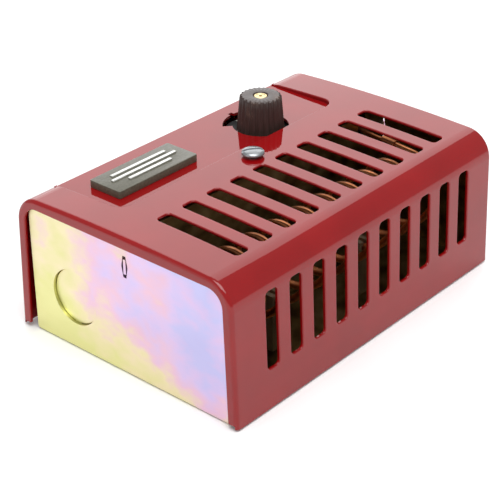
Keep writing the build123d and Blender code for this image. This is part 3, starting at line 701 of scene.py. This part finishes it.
class THERMOSTAT_OT_cover_screw(bpy.types.Operator):
    """Model the domed cover screw with its slot and neck."""

    bl_idname = "thermostat.cover_screw"
    bl_label = "Cover screw"

    def execute(self, context):
        sizes = context.scene.thermostat_sizes
        low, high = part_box("cover_screw")
        centre = ((low[0] + high[0]) / 2, (low[1] + high[1]) / 2)
        radius = (high[0] - low[0]) / 2
        shank = SHANK_RADIUS
        tip, top = low[2], high[2]
        seat = top - HEAD_HEIGHT
        profile = [(shank - 0.6 * MM, tip), (shank, tip + 0.6 * MM)]
        pitch = 0.7 * MM
        thread_depth = 0.3 * MM
        slot_depth = 1.1 * MM
        height = tip + 0.8 * MM
        while height < seat - 4 * MM:
            profile += [
                (shank, height),
                (shank - thread_depth, height + 0.35 * pitch),
                (shank - thread_depth, height + 0.5 * pitch),
                (shank, height + 0.9 * pitch),
            ]
            height += pitch
        profile += [
            (shank, seat + 0.95 * MM),
            (radius - 0.5 * MM, seat + 1.0 * MM),
            (radius, seat + 1.25 * MM),
        ]
        dome_foot = seat + 1.5 * MM
        for angle in range(0, 90, 15):
            turn = math.radians(angle)
            profile.append((radius * math.cos(turn) ** 0.8, dome_foot + (top - dome_foot) * math.sin(turn)))
        profile.append((0.3 * MM, top))
        screw = turned(centre, profile, 48)
        slot_tool = slab(
            (centre[0] - radius - MM, centre[1] - sizes.head_slot / 2, top - slot_depth),
            (centre[0] + radius + MM, centre[1] + sizes.head_slot / 2, top + MM),
        )
        slot_tool.rotation_euler.z = math.radians(SLOT_TURN)
        cut(screw, slot_tool)
        soften(screw, 0.08, 2, 40)
        finish_piece(
            screw,
            "slotted_cover_screw",
            "cover_screw",
            made("bright_zinc_on_steel"),
            ["cover_screw"],
        )
        return {"FINISHED"}


class THERMOSTAT_OT_nameplate(bpy.types.Operator):
    """Model the cast nameplate with plain raised bars in place of lettering."""

    bl_idname = "thermostat.nameplate"
    bl_label = "Nameplate"

    def execute(self, context):
        low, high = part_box("nameplate")
        pins_low = low[2]
        pin_radius = 1.1 * MM
        floor = PLATE_FLOOR
        face = high[2] - BAR_HEIGHT
        plate = slab((low[0], low[1], floor), (high[0], high[1], face))
        context.view_layer.objects.active = plate
        bpy.ops.object.mode_set(mode="EDIT")
        choose(plate, lambda edge: abs(edge.verts[0].co.z - edge.verts[1].co.z) > 0.5 * MM, "edges")
        bpy.ops.mesh.bevel(offset=0.7 * MM, segments=4)
        bpy.ops.object.mode_set(mode="OBJECT")
        middle = Vector(((low[0] + high[0]) / 2, (low[1] + high[1]) / 2, 0))
        for shift, half in BARS:
            bar = slab(
                (middle.x - half * MM, middle.y + (shift - BAR_HALF_WIDTH) * MM, face - 0.3 * MM),
                (middle.x + half * MM, middle.y + (shift + BAR_HALF_WIDTH) * MM, high[2]),
            )
            cut(plate, bar, "UNION")
        for side in (-1, 1):
            pin_place = (middle.x + side * 14 * MM, middle.y)
            pin = turned(pin_place, [(pin_radius, pins_low), (pin_radius, floor + 0.4 * MM)], 24)
            cut(plate, pin, "UNION")
        soften(plate, 0.18, 2, 40)
        finish_piece(
            plate,
            "cast_plate",
            "cover",
            made("cast_aluminium_painted_hollows"),
            ["nameplate"],
        )
        return {"FINISHED"}


class THERMOSTAT_OT_dial_marks(bpy.types.Operator):
    """Print the dial with lines and numbers, each a thin raised film."""

    bl_idname = "thermostat.dial_marks"
    bl_label = "Dial marks"

    def execute(self, context):
        sizes = context.scene.thermostat_sizes
        low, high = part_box("dial_scale")
        centre = Vector(((low[0] + high[0]) / 2, (low[1] + high[1]) / 2, 0))
        rim = (high[0] - low[0]) / 2
        face = high[2]
        film = 0.04 * MM
        marks = []
        edge = rim - 0.4 * MM
        steps = MARKS_PER_VALUE * (len(DIAL_VALUES) - 1)
        for i in range(steps + 1):
            at_value = i % MARKS_PER_VALUE == 0
            reach = (1.7 if at_value else 1.0) * MM
            mark = slab(
                (edge - reach, -sizes.mark_width / 2, face - 0.02 * MM),
                (edge, sizes.mark_width / 2, face + film),
            )
            place_round(mark, centre, math.radians(DIAL_START + i * DIAL_SPAN / steps))
            marks.append(mark)
        for i, value in enumerate(DIAL_VALUES):
            clear_choice()
            bpy.ops.object.text_add()
            text = context.object
            text.data.body = value
            text.data.size = 1.9 * MM
            text.data.align_x = "CENTER"
            text.data.align_y = "CENTER"
            text.data.extrude = film / 2
            text.data.resolution_u = 2
            bpy.ops.object.convert(target="MESH")
            text = context.object
            text.location = (rim - 3.2 * MM, 0, face + film / 2)
            text.rotation_euler.z = math.radians(90)
            bpy.ops.object.transform_apply(location=True, rotation=True, scale=True)
            place_round(text, centre, math.radians(DIAL_START + i * DIAL_SPAN / (len(DIAL_VALUES) - 1)))
            marks.append(text)
        clear_choice()
        for mark in marks:
            mark.select_set(True)
        context.view_layer.objects.active = marks[0]
        bpy.ops.object.join()
        ink, tree, shader, place = new_finish("white_dial_ink")
        wear = noise(tree, place, 0.7, 3)
        tint = ramp(tree, wear, (0.3, linear("#B5B1A4")), (0.7, linear("#D6D3C8")))
        fill(tree, shader, Base_Color=tint, Roughness=spread(tree, wear, 0.5, 0.7))
        finish_piece(context.object, "dial_ink", "knob", ink)
        return {"FINISHED"}


def place_round(piece, centre, turn):
    """Turn a piece about an upright axis and bring the place into its mesh."""
    piece.data.transform(Matrix.Translation(centre) @ Matrix.Rotation(turn, 4, "Z") @ piece.matrix_world)
    piece.matrix_world = Matrix.Identity(4)


class THERMOSTAT_OT_stage(bpy.types.Operator):
    """Make the floor, the lights and the camera."""

    bl_idname = "thermostat.stage"
    bl_label = "Stage"

    def execute(self, context):
        clear_choice()
        bpy.ops.mesh.primitive_plane_add(size=12, location=(0, 0, -0.0002))
        floor = context.object
        floor.name = "pale_floor"
        paper, tree, shader, place = new_finish("pale_paper")
        fibre = noise(tree, place, 60, 2)
        tint = ramp(tree, fibre, (0.3, linear("#FBFBFB")), (0.7, linear("#FFFFFF")))
        fill(tree, shader, Base_Color=tint, Roughness=0.9)
        floor.data.materials.append(paper)
        world = bpy.data.worlds.new("soft_daylight")
        context.scene.world = world
        world.use_nodes = True
        world.node_tree.nodes["Background"].inputs["Color"].default_value = (1, 1, 1, 1)
        world.node_tree.nodes["Background"].inputs["Strength"].default_value = WORLD_STRENGTH
        for name, spot, size, power in LAMPS:
            lamp = bpy.data.lights.new(name, "AREA")
            lamp.shape = "SQUARE"
            lamp.size = size
            lamp.energy = power
            holder = bpy.data.objects.new(name, lamp)
            context.scene.collection.objects.link(holder)
            holder.location = spot
            holder.rotation_euler = (-Vector(spot)).to_track_quat("-Z", "Y").to_euler()
        camera = bpy.data.cameras.new("view")
        camera.sensor_width = 36
        camera.lens = LENS
        camera.clip_start = 0.01
        holder = bpy.data.objects.new("view", camera)
        context.scene.collection.objects.link(holder)
        holder.matrix_world = Matrix.Translation(VIEW_PLACE) @ Matrix(VIEW_TURN).to_4x4()
        context.scene.camera = holder
        context.scene.view_settings.view_transform = "Standard"
        return {"FINISHED"}


class THERMOSTAT_PT_panel(bpy.types.Panel):
    """Lists the steps and the values that they read."""

    bl_label = "Thermostat"
    bl_space_type = "VIEW_3D"
    bl_region_type = "UI"
    bl_category = "Thermostat"

    def draw(self, context):
        column = self.layout.column()
        for settings in (context.scene.thermostat_colours, context.scene.thermostat_sizes):
            for name in settings.bl_rna.properties.keys():
                if name not in ("rna_type", "name"):
                    column.prop(settings, name)
        for step in STEPS:
            column.operator(step.bl_idname)


STEPS = (
    THERMOSTAT_OT_finishes,
    THERMOSTAT_OT_knob,
    THERMOSTAT_OT_knob_insert,
    THERMOSTAT_OT_cover_screw,
    THERMOSTAT_OT_nameplate,
    THERMOSTAT_OT_dial_marks,
    THERMOSTAT_OT_stage,
)
CLASSES = (ThermostatColours, ThermostatSizes, *STEPS, THERMOSTAT_PT_panel)


def register():
    """Register the classes and their settings."""
    for kind in CLASSES:
        bpy.utils.register_class(kind)
    bpy.types.Scene.thermostat_colours = PointerProperty(type=ThermostatColours)
    bpy.types.Scene.thermostat_sizes = PointerProperty(type=ThermostatSizes)


def unregister():
    """Take the classes and their settings away."""
    del bpy.types.Scene.thermostat_sizes
    del bpy.types.Scene.thermostat_colours
    for kind in reversed(CLASSES):
        bpy.utils.unregister_class(kind)


def main():
    """Build the thermostat."""
    register()
    for step in STEPS:
        group, name = step.bl_idname.split(".")
        getattr(getattr(bpy.ops, group), name)()


if __name__ == "__main__":
    main()
